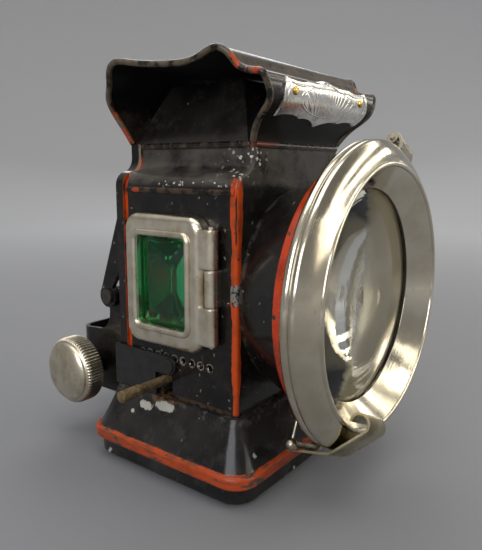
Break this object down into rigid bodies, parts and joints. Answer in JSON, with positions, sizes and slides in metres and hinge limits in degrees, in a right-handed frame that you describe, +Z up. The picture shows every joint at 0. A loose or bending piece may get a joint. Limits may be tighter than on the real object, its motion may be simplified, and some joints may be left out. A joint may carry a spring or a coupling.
{
  "type": "bicycle oil lamp",
  "caption": "Black sheet-metal bicycle oil headlamp with hinged lens door, green and red side jewels, flared hood, slide-off oil font, wick winder and clamp bracket.",
  "frame": {"origin": "middle of the oil font's flat bottom", "axes": "+Z up, the lens looks along -Y, the green jewel is on -X and the red jewel on +X"},
  "size_m": [0.0937, 0.1173, 0.1235],
  "materials": {
    "black_japan": "gloss black stove enamel, worn and chipped at edges",
    "red_paint": "orange-red paint, worn",
    "nickel": "nickel plate, slightly tarnished",
    "dark_steel": "dull dark steel",
    "brass": "aged brass",
    "silvered": "polished silver plate",
    "clear_glass": "clear polished glass",
    "green_glass": "deep green cut glass",
    "red_glass": "deep red cut glass",
    "cotton": "flat woven cotton"
  },
  "bodies": {
    "lamp": {"body_shell": "black_japan", "back_plate": "black_japan", "front_barrel": "black_japan", "front_flange": "red_paint", "hood": "black_japan", "flue": "black_japan", "name_plate": "nickel", "name_plate_rivets": "brass", "reflector": "silvered", "green_hinge_leaf": "nickel", "green_hinge_pin": "nickel", "red_hinge_leaf": "nickel", "red_hinge_pin": "nickel", "bezel_hinge_lug": "nickel", "catch_keeper": "nickel", "hanger_yoke": "black_japan", "hanger_rivets": "dark_steel", "bracket_pin": "dark_steel"},
    "font": {"font_shell": "black_japan", "font_bottom": "black_japan", "font_clip": "dark_steel", "burner_collar": "brass", "burner_plate": "brass", "wick_tube": "brass"},
    "winder": {"winder_spindle": "brass", "wick_wheel": "brass"},
    "wick": {"wick": "cotton"},
    "lens_door": {"bezel": "nickel", "lens": "clear_glass", "lens_ring": "dark_steel", "bezel_hinge_knuckles": "nickel", "bezel_hinge_pin": "nickel"},
    "catch": {"catch_strip": "nickel"},
    "green_door": {"green_jewel_frame": "nickel", "green_jewel": "green_glass", "green_jewel_retainer": "nickel"},
    "red_door": {"red_jewel_frame": "nickel", "red_jewel": "red_glass", "red_jewel_retainer": "nickel"},
    "bracket": {"bracket_socket": "black_japan"},
    "clamp_pad": {"clamp_pad": "dark_steel"},
    "clamp_screw": {"clamp_screw": "dark_steel", "clamp_knob": "nickel"}
  },
  "joints": [
    {"name": "lens_door_hinge", "type": "hinge", "parent": "lamp", "child": "lens_door", "pos_m": [0.02029, -0.046, 0.1007], "axis": [-0.9063, 0, 0.4226], "range_deg": [0, 100]},
    {"name": "catch_lift", "type": "hinge", "parent": "lens_door", "child": "catch", "pos_m": [-0.01492, -0.0562, 0.02521], "axis": [-0.9063, 0, 0.4226], "range_deg": [0, 8], "stiffness_Nm_per_rad": 0.05},
    {"name": "green_door_hinge", "type": "hinge", "parent": "lamp", "child": "green_door", "pos_m": [-0.033, -0.0166, 0.0607], "axis": [0, 0, 1], "range_deg": [0, 100]},
    {"name": "red_door_hinge", "type": "hinge", "parent": "lamp", "child": "red_door", "pos_m": [0.033, -0.0166, 0.0607], "axis": [0, 0, -1], "range_deg": [0, 100]},
    {"name": "font_release", "type": "slide", "parent": "lamp", "child": "font", "axis": [0, 0, -1], "range_m": [0, 0.03]},
    {"name": "winder_turn", "type": "hinge", "parent": "font", "child": "winder", "pos_m": [0, 0.003, 0.0296], "axis": [-1, 0, 0], "range_deg": [-140, 190]},
    {"name": "wick_rise", "type": "slide", "parent": "font", "child": "wick", "axis": [0, 0, 1], "range_m": [-0.006, 0.008]},
    {"name": "bracket_tilt", "type": "hinge", "parent": "lamp", "child": "bracket", "pos_m": [0, 0.038, 0.0495], "axis": [1, 0, 0], "range_deg": [0, 25]},
    {"name": "clamp_feed", "type": "slide", "parent": "bracket", "child": "clamp_pad", "axis": [-1, 0, 0], "range_m": [0, 0.0024]},
    {"name": "clamp_turn", "type": "hinge", "parent": "clamp_pad", "child": "clamp_screw", "pos_m": [0, 0.0466, 0.0236], "axis": [-1, 0, 0], "range_deg": [-30, 1150]}
  ],
  "couplings": [
    {"joint": "winder_turn", "follows": "wick_rise", "rad_per_m": 303.03},
    {"joint": "clamp_turn", "follows": "clamp_feed", "rad_per_m": 7854}
  ]
}
